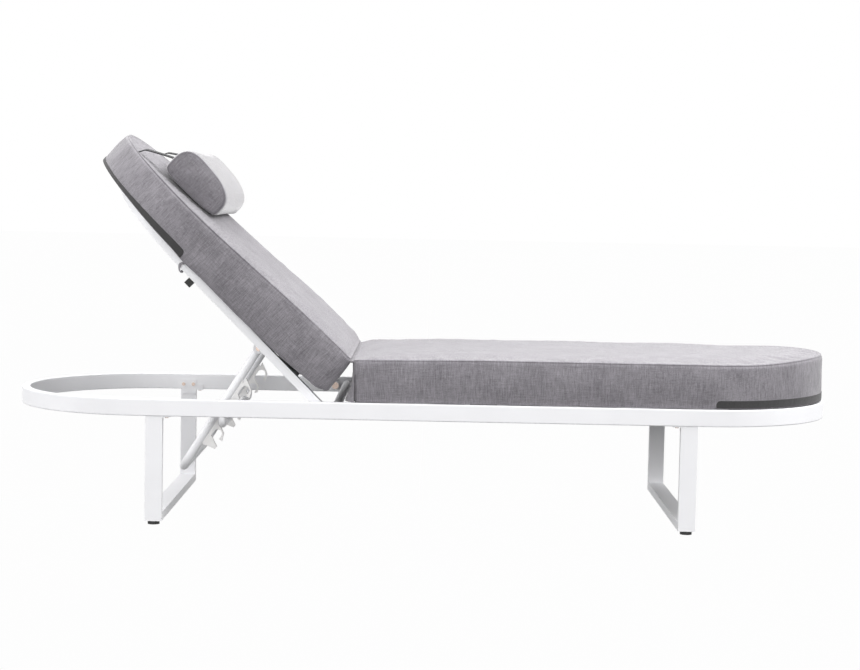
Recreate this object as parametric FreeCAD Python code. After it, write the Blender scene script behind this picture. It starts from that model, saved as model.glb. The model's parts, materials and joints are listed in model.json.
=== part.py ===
"""Sun lounger: an oval aluminium ring on two U-shaped legs, a backrest that reclines on a hooked
support bail, and a boxed cushion in two halves with a head pillow.

Millimetres, +Z up, the head end towards -X. The origin is on the floor under the ring's centre.
"""
import FreeCAD
import Part
import math
import os

V = FreeCAD.Vector

# Ring
LENGTH = 2000.0
WIDTH = 660.0
RAIL_HEIGHT = 40.0
RAIL_DEPTH = 20.0
WALL = 2.0

# Legs
LEG_HEIGHT = 249.0
LEG_FROM_BOW = 41.5
POST_WIDTH = 40.0
POST_DEPTH = 18.0
STRETCHER_HEIGHT = 20.0
PAD_RADIUS = 14.0
PAD_HEIGHT = 8.0
PAD_INSET = 2.0

# Leg brackets
BRACKET_THICK = 2.5
BRACKET_UP = 26.0
BRACKET_DOWN = 12.0
TAB_LENGTH = 18.0
BOLT_RADIUS = 3.0
HEAD_RADIUS = 4.5
HEAD_HEIGHT = 2.2
BOLT_PITCH = 26.0

# Seat deck
SLAT_WIDTH = 80.0
SLAT_THICK = 12.0
SLAT_DROP = 1.0
SEAT_SLATS = 6
FIRST_SLAT_PAST_FOLD = 46.0
LAST_SLAT_FROM_END = 220.0
CROSS_TUBE_PAST_HINGE = 29.0
CROSS_TUBE_RADIUS = 11.0

# Backrest frame
HINGE_SHARE = 0.117
BACK_ANGLE = 45.1
BACK_END_GAP = 13.0
BACK_SIDE_GAP = 10.0
BACK_RAIL_HEIGHT = 20.0
BACK_RAIL_WIDTH = 25.0
BACK_RAIL_PLUG = 26.0
BACK_SLAT_WIDTH = 66.0
BACK_SLAT_THICK = 10.0
FIRST_SLAT_BEFORE_PIVOT = 79.0
LAST_BACK_SLAT_FROM_END = 183.0
MIDDLE_SLAT_SHIFT = 0.5
HINGE_BOLT_RADIUS = 5.0
RUNNING_FIT = 0.05
WASHER_RADIUS = 11.0
BUMPER_SIZE = 17.0
TIE_PAST_BUMPER = 32.0
TIE_WIDTH = 8.0
TIE_THICK = 1.5
TIE_CLEARANCE = 0.5
TIE_SLACK = 6.0

# Support bail and its hooked combs
PIVOT_SHARE = 0.28513
PIVOT_BELOW = 17.0
BAIL_ANGLE = 58.2
BAIL_LENGTH = 345.0
BAIL_FROM_RAIL = 60.0
BAIL_RADIUS = 10.0
BAIL_BEND = 40.0
PIVOT_BOLT_RADIUS = 4.0
EYE_PROUD = 1.0
EYE_SIDE = 0.15
EAR_THICK = 4.0
EAR_RADIUS = 13.0
EAR_GAP = 0.4
COMB_THICK = 10.0
COMB_START = 78.0
COMB_END = 268.0
COMB_WEB = 16.0
NOTCHES = 4
NOTCH_FIRST = 104.0
NOTCH_PITCH = 41.4
NOTCH_OFFSET = 27.0
NOTCH_RADIUS = 10.5
NOTCH_IN_USE = 2
HOOK_REACH = 46.0
HOOK_TIP = 10.0
HOOK_BACK = 26.0
HOOK_SHOULDER = 8.0
HOOK_SLOPE = 6.0
HOOK_SINK = 3.0
COMB_LEAD = 16.0
TOOTH_BACK = 30.0
TOOTH_SHOULDER = 12.0
TOOTH_TIP = 5.0
TOOTH_DROP = 4.0
REST_BAR_RADIUS = 9.5
REST_BAR_BEND = 14.0
RELEASE_CLEARANCE = 1.2

# Cushions
CUSHION_THICK = 100.0
CUSHION_SIDE_GAP = 5.0
CUSHION_CROWN = 5.0
CUSHION_CLEARANCE = 0.5
FOLD_PAST_HINGE = 68.0
FOLD_GAP = 1.0
SEAT_CUSHION_GAP = 4.0
BACK_CUSHION_GAP = 52.0
BAND_HEIGHT = 20.0
BAND_THICK = 1.7
BAND_LIFT = 3.0
BAND_FROM = 292.0
HEAD_BAND_REACH = 242.0
STRAP_WIDTH = 64.0
STRAP_PAST_FOLD = 310.0
STRAP_THICK = 1.6
STRAP_INSET = 9.0
PILLOW_FROM_END = 302.0
PILLOW_SIZE = 168.0
PILLOW_HEIGHT = 76.0
PILLOW_SIDE_GAP = 103.0
PILLOW_STRAP_INSET = 32.0
PILLOW_STRAP_END = 82.0
PILLOW_STRAP_WIDTH = 16.0
PILLOW_STRAP_THICK = 2.0
PILLOW_STRAP_DROP = 2.05

# Places that follow from the sizes above
RAIL_Z = PAD_HEIGHT + LEG_HEIGHT
RAIL_TOP = RAIL_Z + RAIL_HEIGHT
RING_R = WIDTH / 2
RING_C = LENGTH / 2 - RING_R
INNER_R = RING_R - RAIL_DEPTH
LEG_X = RING_C - LEG_FROM_BOW
HINGE_X = -HINGE_SHARE * LENGTH
HINGE_Z = RAIL_Z + RAIL_HEIGHT / 2
CROSS_TUBE_X = HINGE_X + CROSS_TUBE_PAST_HINGE
BACK_R = INNER_R - BACK_SIDE_GAP
BACK_LENGTH = LENGTH / 2 - RAIL_DEPTH - BACK_END_GAP + HINGE_X
BACK_INNER_R = BACK_R - BACK_RAIL_WIDTH
BACK_C = HINGE_X - BACK_LENGTH + BACK_R
BACK_STRAIGHT = BACK_LENGTH - BACK_R
PIVOT_ALONG = PIVOT_SHARE * BACK_LENGTH
LAST_BACK_SLAT = BACK_LENGTH - LAST_BACK_SLAT_FROM_END
MIDDLE_BACK_SLAT = (PIVOT_ALONG + LAST_BACK_SLAT) / 2 + MIDDLE_SLAT_SHIFT
BACK_SLAT_ALONG = (PIVOT_ALONG - FIRST_SLAT_BEFORE_PIVOT, PIVOT_ALONG, MIDDLE_BACK_SLAT, LAST_BACK_SLAT)
TIE_ALONG = (MIDDLE_BACK_SLAT + LAST_BACK_SLAT) / 2
BUMPER_ALONG = TIE_ALONG - TIE_PAST_BUMPER
BAIL_HALF = BACK_INNER_R - BAIL_FROM_RAIL
FOLD_X = HINGE_X + FOLD_PAST_HINGE
FOLD_Z = RAIL_TOP + CUSHION_CLEARANCE + CUSHION_THICK
SEAT_FIRST_X = FOLD_X + FIRST_SLAT_PAST_FOLD
SEAT_LAST_X = LENGTH / 2 - LAST_SLAT_FROM_END
SEAT_PITCH = (SEAT_LAST_X - SEAT_FIRST_X) / (SEAT_SLATS - 1)
CUSHION_HALF = RING_R - CUSHION_SIDE_GAP
SEAT_CUSHION_END = LENGTH / 2 - SEAT_CUSHION_GAP
BACK_CUSHION_LENGTH = LENGTH / 2 - BACK_CUSHION_GAP + FOLD_X
HEAD_BAND_FROM = BACK_CUSHION_LENGTH - HEAD_BAND_REACH
PILLOW_FROM = BACK_CUSHION_LENGTH - PILLOW_FROM_END
PILLOW_HALF = CUSHION_HALF - PILLOW_SIDE_GAP
PILLOW_STRAP_Y = PILLOW_HALF - PILLOW_STRAP_INSET
STRAP_X = FOLD_X + STRAP_PAST_FOLD
HINGE = V(HINGE_X, 0, HINGE_Z)
FOLD = V(FOLD_X, 0, FOLD_Z)
Y_AXIS = V(0, 1, 0)
NEAR_FAR = (("near", -1), ("far", 1))
HEAD_FOOT = (("head", -1), ("foot", 1))


def box(x0, x1, y0, y1, z0, z1):
    """A box between two corners given in any order."""
    lo = V(min(x0, x1), min(y0, y1), min(z0, z1))
    return Part.makeBox(abs(x1 - x0), abs(y1 - y0), abs(z1 - z0), lo)


def rod(radius, start, end):
    """A round rod between two points."""
    return Part.makeCylinder(radius, (end - start).Length, start, end - start)


def turned(shape, centre, angle):
    """The shape turned about the Y axis through a point, head end up for a positive angle."""
    copy = shape.copy()
    copy.rotate(centre, Y_AXIS, angle)
    return copy


def at_back(shape):
    """A backrest piece drawn flat, turned up to the rest angle."""
    return turned(shape, HINGE, BACK_ANGLE)


def half_disc(cx, radius, z0, z1, side):
    """Half of a round plate, on the side of cx that side gives."""
    disc = Part.makeCylinder(radius, z1 - z0, V(cx, 0, z0))
    reach = radius + 1
    return disc.common(box(cx, cx + side * reach, -reach, reach, z0 - 1, z1 + 1))


def bow(cx, outer, depth, z0, z1, side):
    """A hollow half ring of rectangular tube."""
    shell = half_disc(cx, outer, z0, z1, side).cut(half_disc(cx, outer - depth, z0 - 1, z1 + 1, side))
    bore = half_disc(cx, outer - WALL, z0 + WALL, z1 - WALL, side)
    bore = bore.cut(half_disc(cx, outer - depth + WALL, z0, z1, side))
    return shell.cut(bore)


def tube(x0, x1, y0, y1, z0, z1):
    """A hollow rectangular tube along X."""
    inner = box(x0 - 1, x1 + 1, y0 + WALL, y1 - WALL, z0 + WALL, z1 - WALL)
    return box(x0, x1, y0, y1, z0, z1).cut(inner)


def bent_rod(points, bend, radius):
    """A round rod along straight runs joined by arcs of one radius."""
    edges = []
    start = points[0]
    for before, corner, after in zip(points, points[1:], points[2:]):
        a = (before - corner).normalize()
        b = (after - corner).normalize()
        half = math.acos(max(-1.0, min(1.0, a.dot(b)))) / 2
        tangent = bend / math.tan(half)
        p0 = corner + a * tangent
        p2 = corner + b * tangent
        mid = (a + b).normalize()
        p1 = corner + mid * (bend / math.sin(half) - bend)
        edges.append(Part.LineSegment(start, p0).toShape())
        edges.append(Part.Arc(p0, p1, p2).toShape())
        start = p2
    edges.append(Part.LineSegment(start, points[-1]).toShape())
    path = Part.Wire(edges)
    direction = (points[1] - points[0]).normalize()
    profile = Part.Wire(Part.makeCircle(radius, points[0], direction))
    return path.makePipeShell([profile], True, False)


# Ring, in two straight rails and two bows

def ring():
    parts = {}
    for name, side in NEAR_FAR:
        y0, y1 = sorted((side * INNER_R, side * RING_R))
        parts["side_rail_" + name] = tube(-RING_C, RING_C, y0, y1, RAIL_Z, RAIL_TOP)
    for name, side in HEAD_FOOT:
        parts[name + "_bow"] = bow(side * RING_C, RING_R, RAIL_DEPTH, RAIL_Z, RAIL_TOP, side)
    return parts


def inside_ring(z0, z1):
    """The plate-shaped space inside the ring."""
    plate = box(-RING_C, RING_C, -INNER_R, INNER_R, z0, z1)
    for side in (-1, 1):
        plate = plate.fuse(half_disc(side * RING_C, INNER_R, z0, z1, side))
    return plate.removeSplitter()


# Legs with their pads, brackets and bolts

def legs():
    parts = {}
    top = PAD_HEIGHT + LEG_HEIGHT
    for end, ex in HEAD_FOOT:
        x = ex * LEG_X
        x0, x1 = x - POST_WIDTH / 2, x + POST_WIDTH / 2
        z1 = PAD_HEIGHT + STRETCHER_HEIGHT
        bar = box(x0, x1, -INNER_R, INNER_R, PAD_HEIGHT, z1)
        hollow = box(x0 + WALL, x1 - WALL, -INNER_R - 1, INNER_R + 1, PAD_HEIGHT + WALL, z1 - WALL)
        parts[end + "_leg_stretcher"] = bar.cut(hollow)
        for name, side in NEAR_FAR:
            outer = side * (INNER_R + POST_DEPTH)
            inner = side * INNER_R
            post = box(x0, x1, inner, outer, PAD_HEIGHT, top)
            bore = box(x0 + WALL, x1 - WALL, inner + side * WALL, outer - side * WALL,
                       PAD_HEIGHT + WALL, top + 1)
            parts[f"{end}_leg_post_{name}"] = post.cut(bore)
            middle = side * (RING_R - PAD_RADIUS - PAD_INSET)
            parts[f"{end}_foot_pad_{name}"] = Part.makeCylinder(PAD_RADIUS, PAD_HEIGHT, V(x, middle, 0))
            parts.update(leg_bracket(end, ex, name, side, x0, x1))
    return parts


def leg_bracket(end, ex, name, side, x0, x1):
    """A plate on the inner faces of rail and post, a tab under the rail, and three bolts."""
    face = side * INNER_R
    back = face - side * BRACKET_THICK
    plate = box(x0, x1, face, back, RAIL_Z - BRACKET_DOWN, RAIL_Z + BRACKET_UP)
    edge = x0 if ex > 0 else x1
    tab_end = edge - ex * TAB_LENGTH
    wing = box(edge, tab_end, face, back, RAIL_Z - BRACKET_THICK, RAIL_Z + BRACKET_UP / 2)
    tab = box(edge, tab_end, back, side * (RING_R - WALL), RAIL_Z - BRACKET_THICK, RAIL_Z)
    bracket = plate.fuse([wing, tab]).removeSplitter()
    bolts = []
    z = RAIL_Z + BRACKET_UP / 2
    x = (x0 + x1) / 2
    for dx in (-BOLT_PITCH / 2, BOLT_PITCH / 2):
        seat = V(x + dx, back, z)
        shank = rod(BOLT_RADIUS, seat, V(x + dx, face + side * WALL, z))
        head = rod(HEAD_RADIUS, seat, seat - V(0, side * HEAD_HEIGHT, 0))
        bolts.append(shank.fuse(head))
    low = V((edge + tab_end) / 2, side * (INNER_R + RAIL_DEPTH / 2), RAIL_Z - BRACKET_THICK)
    shank = rod(BOLT_RADIUS, low, low + V(0, 0, BRACKET_THICK + WALL))
    bolts.append(shank.fuse(rod(HEAD_RADIUS, low, low - V(0, 0, HEAD_HEIGHT))))
    rail_holes = Part.makeCompound(bolts)
    holes.setdefault("rails", []).append(rail_holes)
    return {f"{end}_bracket_{name}": bracket.cut(rail_holes), f"{end}_bolts_{name}": rail_holes}


# Seat deck

def slat(x, width, z0, z1):
    """A flat hollow slat across the frame, longer than the frame is wide."""
    half = width / 2
    bore = box(x - half + WALL, x + half - WALL, -WIDTH - 1, WIDTH + 1, z0 + WALL, z1 - WALL)
    return box(x - half, x + half, -WIDTH, WIDTH, z0, z1).cut(bore)


def seat_deck():
    parts = {}
    top = RAIL_TOP - SLAT_DROP
    room = inside_ring(top - SLAT_THICK, top)
    for i in range(SEAT_SLATS):
        x = SEAT_FIRST_X + i * SEAT_PITCH
        parts[f"seat_slat_{i + 1}"] = slat(x, SLAT_WIDTH, top - SLAT_THICK, top).common(room)
    end = V(CROSS_TUBE_X, INNER_R, HINGE_Z)
    start = V(CROSS_TUBE_X, -INNER_R, HINGE_Z)
    parts["cross_tube"] = rod(CROSS_TUBE_RADIUS, start, end).cut(rod(CROSS_TUBE_RADIUS - WALL, start, end))
    return parts


# Backrest frame, drawn flat and then turned up

def backrest():
    parts = {}
    z0, z1 = HINGE_Z - BACK_RAIL_HEIGHT / 2, HINGE_Z + BACK_RAIL_HEIGHT / 2
    for name, side in NEAR_FAR:
        y0, y1 = sorted((side * BACK_INNER_R, side * BACK_R))
        rail = box(BACK_C, HINGE_X, y0, y1, z0, z1)
        rail = rail.fuse(rod(BACK_RAIL_HEIGHT / 2, V(HINGE_X, y0, HINGE_Z), V(HINGE_X, y1, HINGE_Z)))
        bore = box(BACK_C - 1, HINGE_X - BACK_RAIL_PLUG, y0 + WALL, y1 - WALL, z0 + WALL, z1 - WALL)
        eye = rod(HINGE_BOLT_RADIUS + RUNNING_FIT, V(HINGE_X, y0 - 1, HINGE_Z), V(HINGE_X, y1 + 1, HINGE_Z))
        parts["back_rail_" + name] = at_back(rail.removeSplitter().cut(bore).cut(eye))
        parts["bumper_" + name] = at_back(bumper(side, z0))
        parts["tie_strap_" + name] = at_back(tie(side, z0, z1))
        parts.update(bail_bracket(name, side))
    parts["back_bow"] = at_back(bow(BACK_C, BACK_R, BACK_RAIL_WIDTH, z0, z1, -1))
    room = box(BACK_C, HINGE_X, -BACK_INNER_R, BACK_INNER_R, z0, z1)
    room = room.fuse(half_disc(BACK_C, BACK_INNER_R, z0, z1, -1)).removeSplitter()
    for i, along in enumerate(BACK_SLAT_ALONG):
        x = HINGE_X - along
        top = z1 - SLAT_DROP
        strip = slat(x, BACK_SLAT_WIDTH, top - BACK_SLAT_THICK, top)
        parts[f"back_slat_{i + 1}"] = at_back(strip.common(room))
    return parts


def bumper(side, z0):
    """A rubber block under the backrest rail."""
    x = HINGE_X - BUMPER_ALONG
    y = side * (BACK_R - BACK_RAIL_WIDTH / 2)
    half = BUMPER_SIZE / 2
    return box(x - half, x + half, y - half, y + half, z0 - BUMPER_SIZE, z0)


def tie(side, z0, z1):
    """A strap looped loosely round a backrest rail, drawn flat."""
    x = HINGE_X - TIE_ALONG
    past = max(0.0, TIE_ALONG + TIE_WIDTH / 2 - BACK_STRAIGHT)
    ya = side * (math.sqrt(BACK_INNER_R ** 2 - past ** 2) - TIE_CLEARANCE)
    yb = side * (BACK_R + TIE_CLEARANCE)
    low, high = z0 - TIE_SLACK, z1 + TIE_CLEARANCE
    x0, x1 = x - TIE_WIDTH / 2, x + TIE_WIDTH / 2
    t = TIE_THICK
    outer = box(x0, x1, ya - side * t, yb + side * t, low - t, high + t)
    return outer.cut(box(x0 - 1, x1 + 1, ya, yb, low, high))


def hinge_bolts():
    """Shoulder bolts through the rails, with washers in the gap."""
    parts = {}
    for name, side in NEAR_FAR:
        inner = V(HINGE_X, side * (BACK_INNER_R - HEAD_HEIGHT), HINGE_Z)
        face = V(HINGE_X, side * BACK_INNER_R, HINGE_Z)
        end = V(HINGE_X, side * (INNER_R + WALL), HINGE_Z)
        bolt = rod(HINGE_BOLT_RADIUS, face, end).fuse(rod(HEAD_RADIUS * 2, inner, face - V(0, side * 0.3, 0)))
        bolt = bolt.fuse(rod(HINGE_BOLT_RADIUS, inner, face))
        parts["hinge_bolt_" + name] = bolt
        holes.setdefault("rails", []).append(bolt)
        start = V(HINGE_X, side * (BACK_R + 0.3), HINGE_Z)
        stop = V(HINGE_X, side * INNER_R, HINGE_Z)
        ring_shape = rod(WASHER_RADIUS, start, stop)
        parts["hinge_washer_" + name] = ring_shape.cut(rod(HINGE_BOLT_RADIUS, start, stop))
    return parts


# Support bail

def pivot_flat():
    return V(HINGE_X - PIVOT_ALONG, 0, HINGE_Z - PIVOT_BELOW)


def pivot_at(angle):
    """The bail's pivot with the backrest at an angle."""
    d = pivot_flat() - HINGE
    c, s = math.cos(math.radians(angle)), math.sin(math.radians(angle))
    return HINGE + V(d.x * c + d.z * s, 0, -d.x * s + d.z * c)


def bail_bracket(name, side):
    """Two ears under a backrest slat, with the bolt that the bail turns on."""
    pivot = pivot_flat()
    y = side * BAIL_HALF
    top = HINGE_Z + BACK_RAIL_HEIGHT / 2 - SLAT_DROP - BACK_SLAT_THICK
    reach = BAIL_RADIUS + EAR_GAP
    solid = box(pivot.x - EAR_RADIUS, pivot.x + EAR_RADIUS, y - reach - EAR_THICK, y + reach + EAR_THICK,
                top - EAR_THICK / 2, top)
    bolt = rod(PIVOT_BOLT_RADIUS, V(pivot.x, y - reach - EAR_THICK, pivot.z),
               V(pivot.x, y + reach + EAR_THICK, pivot.z))
    for way in (-1, 1):
        y0 = y + way * reach
        y1 = y0 + way * EAR_THICK
        ear = box(pivot.x - EAR_RADIUS, pivot.x + EAR_RADIUS, y0, y1, pivot.z, top)
        solid = solid.fuse(ear.fuse(rod(EAR_RADIUS, V(pivot.x, y0, pivot.z), V(pivot.x, y1, pivot.z))))
        bolt = bolt.fuse(rod(HEAD_RADIUS * 1.4, V(pivot.x, y1, pivot.z),
                             V(pivot.x, y1 + way * HEAD_HEIGHT * 1.5, pivot.z)))
    solid = solid.removeSplitter().cut(bolt)
    return {"bail_bracket_" + name: at_back(solid), "bail_bolt_" + name: at_back(bolt)}


def bail_turn(lowered):
    """The bail's own turn about its pivot, in the world, when the backrest is lowered by an angle."""
    return BAIL_ANGLE * lowered / BACK_ANGLE


def bar_in_bail(lowered):
    """The rest bar's place along and off the bail's arm when the backrest is lowered by an angle."""
    d = rest_bar_centre() - pivot_at(BACK_ANGLE - lowered)
    t = math.radians(BAIL_ANGLE - bail_turn(lowered))
    along = -d.x * math.cos(t) - d.z * math.sin(t)
    off = d.x * math.sin(t) - d.z * math.cos(t)
    return along, off


def bail_point(along, off, y=0.0):
    """A point of the bail at rest, from its place along and off the arm."""
    t = math.radians(BAIL_ANGLE)
    p = pivot_at(BACK_ANGLE)
    x = p.x - along * math.cos(t) + off * math.sin(t)
    z = p.z - along * math.sin(t) - off * math.cos(t)
    return V(x, y, z)


def rest_bar_centre():
    return bail_point(NOTCH_FIRST + NOTCH_IN_USE * NOTCH_PITCH, NOTCH_OFFSET)


def plate(points, y, thick):
    """A flat plate across the bail's arm, from corner places along and off it."""
    corners = [bail_point(a, o, y - thick / 2) for a, o in points]
    wire = Part.makePolygon(corners + corners[:1])
    return Part.Face(wire).extrude(V(0, thick, 0))


def comb(y, arm):
    """Hooks along the underside of an arm, with the way out of the hook in use cut free."""
    web = [(COMB_START, 0), (COMB_END, 0), (COMB_END, COMB_WEB), (COMB_START + COMB_LEAD, COMB_WEB)]
    solid = plate(web, y, COMB_THICK)
    root = COMB_WEB - HOOK_SINK
    for i in range(NOTCHES):
        c = NOTCH_FIRST + i * NOTCH_PITCH
        hook = [(c - HOOK_BACK, root), (c - HOOK_SHOULDER, HOOK_REACH - HOOK_SLOPE),
                (c + HOOK_TIP, HOOK_REACH), (c + HOOK_TIP, root)]
        solid = solid.fuse(plate(hook, y, COMB_THICK))
    tooth = [(COMB_END - TOOTH_BACK, root), (COMB_END - TOOTH_SHOULDER, HOOK_REACH - HOOK_SINK),
             (COMB_END - TOOTH_TIP, HOOK_REACH - TOOTH_DROP), (COMB_END, root)]
    solid = solid.fuse(plate(tooth, y, COMB_THICK))
    reach = V(0, COMB_THICK, 0)
    for i in range(NOTCHES):
        c = NOTCH_FIRST + i * NOTCH_PITCH
        mid = bail_point(c, NOTCH_OFFSET, y)
        solid = solid.cut(rod(NOTCH_RADIUS, mid - reach, mid + reach))
        low, high = NOTCH_OFFSET - NOTCH_RADIUS, NOTCH_OFFSET + NOTCH_RADIUS
        mouth = c + HOOK_TIP + 0.1
        solid = solid.cut(plate([(c, low), (mouth, low), (mouth, high), (c, high)], y, COMB_THICK * 2))
    radius = REST_BAR_RADIUS + RELEASE_CLEARANCE
    for step in range(1, 41):
        a, o = bar_in_bail(step * 0.25)
        mid = bail_point(a, o, y)
        solid = solid.cut(rod(radius, mid - reach, mid + reach))
    solid = solid.cut(arm).removeSplitter()
    return max(solid.Solids, key=lambda piece: piece.Volume)


def bail():
    half = BAIL_HALF
    corners = [bail_point(0, 0, -half), bail_point(BAIL_LENGTH, 0, -half), bail_point(BAIL_LENGTH, 0, half),
               bail_point(0, 0, half)]
    solid = bent_rod(corners, BAIL_BEND, BAIL_RADIUS)
    arms = solid.copy()
    parts = {}
    for name, side in NEAR_FAR:
        y = side * half
        p = bail_point(0, 0)
        reach = BAIL_RADIUS + EYE_SIDE
        a, b = V(p.x, y - reach, p.z), V(p.x, y + reach, p.z)
        solid = solid.fuse(rod(BAIL_RADIUS + EYE_PROUD, a, b))
        eye = PIVOT_BOLT_RADIUS + RUNNING_FIT
        solid = solid.cut(rod(eye, a - Y_AXIS, b + Y_AXIS))
        parts["hook_comb_" + name] = comb(y, arms)
    parts["bail_tube"] = solid
    return parts


def rest_bar():
    """The bar that the hooks hang on, bent up to the undersides of both rails."""
    c = rest_bar_centre()
    y = INNER_R + RAIL_DEPTH / 2
    points = [V(c.x, -y, RAIL_Z), V(c.x, -y, c.z), V(c.x, y, c.z), V(c.x, y, RAIL_Z)]
    return {"rest_bar": bent_rod(points, REST_BAR_BEND, REST_BAR_RADIUS)}


# Cushions

def d_outline(x_square, x_round, half, inset, z):
    """A closed outline, square at one end and round at the other, drawn in by an inset."""
    way = 1 if x_round > x_square else -1
    x0 = x_square + way * inset
    r = half - inset
    cx = x_round - way * half
    q = r * math.sqrt(0.5)
    edges = [
        Part.LineSegment(V(x0, r, z), V(x0, -r, z)).toShape(),
        Part.LineSegment(V(x0, -r, z), V(cx, -r, z)).toShape(),
        Part.Arc(V(cx, -r, z), V(cx + way * q, -q, z), V(cx + way * r, 0, z)).toShape(),
        Part.Arc(V(cx + way * r, 0, z), V(cx + way * q, q, z), V(cx, r, z)).toShape(),
        Part.LineSegment(V(cx, r, z), V(x0, r, z)).toShape(),
    ]
    return Part.Wire(edges)


def boxed_cushion(x_square, x_round, z0):
    """A boxed cushion with drawn-in sides and a crowned top."""
    t = CUSHION_THICK
    c = CUSHION_CROWN
    seat = BAND_THICK + 1.0
    levels = [(0.0, 7.0), (4.0, seat), (BAND_HEIGHT + 4, seat), (t / 2, seat + 3.0), (t - 12, seat),
              (t - 3, seat + 2.0), (t, 10.0), (t + 0.6 * c, 60.0), (t + c, 140.0)]
    wires = [d_outline(x_square, x_round, CUSHION_HALF, inset, z0 + dz) for dz, inset in levels]
    return Part.makeLoft(wires, True, True)


def edge_band(x_square, x_round, start, z0):
    """A sewn band round the lower edge of a cushion's round end."""
    z = z0 + BAND_LIFT
    outer = Part.Face(d_outline(x_square, x_round, CUSHION_HALF, 0.6, z)).extrude(V(0, 0, BAND_HEIGHT))
    inner = Part.Face(d_outline(x_square, x_round, CUSHION_HALF, 0.6 + BAND_THICK, z - 1)).extrude(
        V(0, 0, BAND_HEIGHT + 2))
    way = 1 if x_round > x_square else -1
    keep = box(start, x_round + way, -WIDTH, WIDTH, z - 1, z + BAND_HEIGHT + 1)
    return outer.cut(inner).common(keep)


def d_section(y, scale):
    """The pillow's section, flat below and round above, drawn flat on the back cushion."""
    base = FOLD_Z + CUSHION_CROWN + CUSHION_CLEARANCE
    mid = FOLD_X - PILLOW_FROM - PILLOW_SIZE / 2
    w = PILLOW_SIZE / 2 * scale
    h = PILLOW_HEIGHT * scale
    a, b = V(mid - 0.86 * w, y, base), V(mid + 0.86 * w, y, base)
    c, d = V(mid + 0.80 * w, y, base + 0.62 * h), V(mid - 0.80 * w, y, base + 0.62 * h)
    edges = [
        Part.LineSegment(a, b).toShape(),
        Part.Arc(b, V(mid + w, y, base + 0.3 * h), c).toShape(),
        Part.Arc(c, V(mid, y, base + h), d).toShape(),
        Part.Arc(d, V(mid - w, y, base + 0.3 * h), a).toShape(),
    ]
    return Part.Wire(edges)


def pillow():
    """A bolster with full middle and drawn-in ends."""
    stations = [(-1.0, 0.86), (-0.95, 0.96), (-0.6, 1.0), (0.0, 1.0), (0.6, 1.0), (0.95, 0.96), (1.0, 0.86)]
    return Part.makeLoft([d_section(k * PILLOW_HALF, s) for k, s in stations], True, True)


def cushion_angle():
    """The back cushion's rest angle, where its underside meets the top of the backrest's bow."""
    end = Part.Vertex(V(HINGE_X - BACK_LENGTH, 0, HINGE_Z + BACK_RAIL_HEIGHT / 2))
    top = at_back(end).Point
    dx, dz = FOLD_X - top.x, top.z - FOLD_Z
    deep = CUSHION_THICK + CUSHION_CLEARANCE
    return math.degrees(math.atan2(dz, dx) + math.asin(deep / math.hypot(dx, dz)))


def cushions():
    z0 = RAIL_TOP + CUSHION_CLEARANCE
    seat_square = FOLD_X + FOLD_GAP
    back_square = FOLD_X - FOLD_GAP
    back_round = FOLD_X - BACK_CUSHION_LENGTH
    angle = cushion_angle()
    parts = {}
    seat = boxed_cushion(seat_square, SEAT_CUSHION_END, z0)
    strap_box = box(STRAP_X - STRAP_WIDTH / 2, STRAP_X + STRAP_WIDTH / 2, -CUSHION_HALF + STRAP_INSET,
                    CUSHION_HALF - STRAP_INSET,
                    z0, z0 + STRAP_THICK)
    parts["seat_strap"] = strap_box
    parts["seat_cushion"] = seat.cut(strap_box)
    parts["foot_band"] = edge_band(seat_square, SEAT_CUSHION_END, SEAT_CUSHION_END - BAND_FROM, z0)
    back = {"back_cushion": boxed_cushion(back_square, back_round, z0)}
    back["head_band"] = edge_band(back_square, back_round, FOLD_X - HEAD_BAND_FROM, z0)
    back["head_pillow"] = pillow()
    straps = []
    for _, side in NEAR_FAR:
        y = side * PILLOW_STRAP_Y
        base = FOLD_Z + CUSHION_CROWN + CUSHION_CLEARANCE - PILLOW_STRAP_DROP
        x0 = FOLD_X - PILLOW_FROM - PILLOW_SIZE * 0.96
        x1 = FOLD_X - BACK_CUSHION_LENGTH + PILLOW_STRAP_END
        half = PILLOW_STRAP_WIDTH / 2
        strap = box(x0, x1, y - half, y + half, base, base + PILLOW_STRAP_THICK)
        straps.append(strap.cut(back["head_pillow"]))
    back["pillow_straps"] = Part.makeCompound(straps)
    for name, shape in back.items():
        parts[name] = turned(shape, FOLD, angle)
    return parts


holes = {}


def build():
    parts = {}
    parts.update(ring())
    parts.update(legs())
    parts.update(seat_deck())
    parts.update(rest_bar())
    parts.update(backrest())
    parts.update(hinge_bolts())
    parts.update(bail())
    parts.update(cushions())
    for name in ("side_rail_near", "side_rail_far"):
        for cutter in holes["rails"]:
            if parts[name].BoundBox.intersect(cutter.BoundBox):
                parts[name] = parts[name].cut(cutter)
    return parts


def main():
    os.makedirs("parts", exist_ok=True)
    for name, shape in build().items():
        shape.exportStep("parts/" + name + ".step")
        print(name, len(shape.Solids), shape.isValid(), round(shape.Volume / 1000, 1))
    print("cushion angle", cushion_angle(), "pivot", pivot_at(BACK_ANGLE), "bar", rest_bar_centre())


main()
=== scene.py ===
"""Looks for a sun lounger: coated oval frame, boxed heather cushions, bolster pillow and the stage."""
import json
import math

import bmesh
import bpy
import numpy as np
from mathutils import Matrix, Vector


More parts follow.
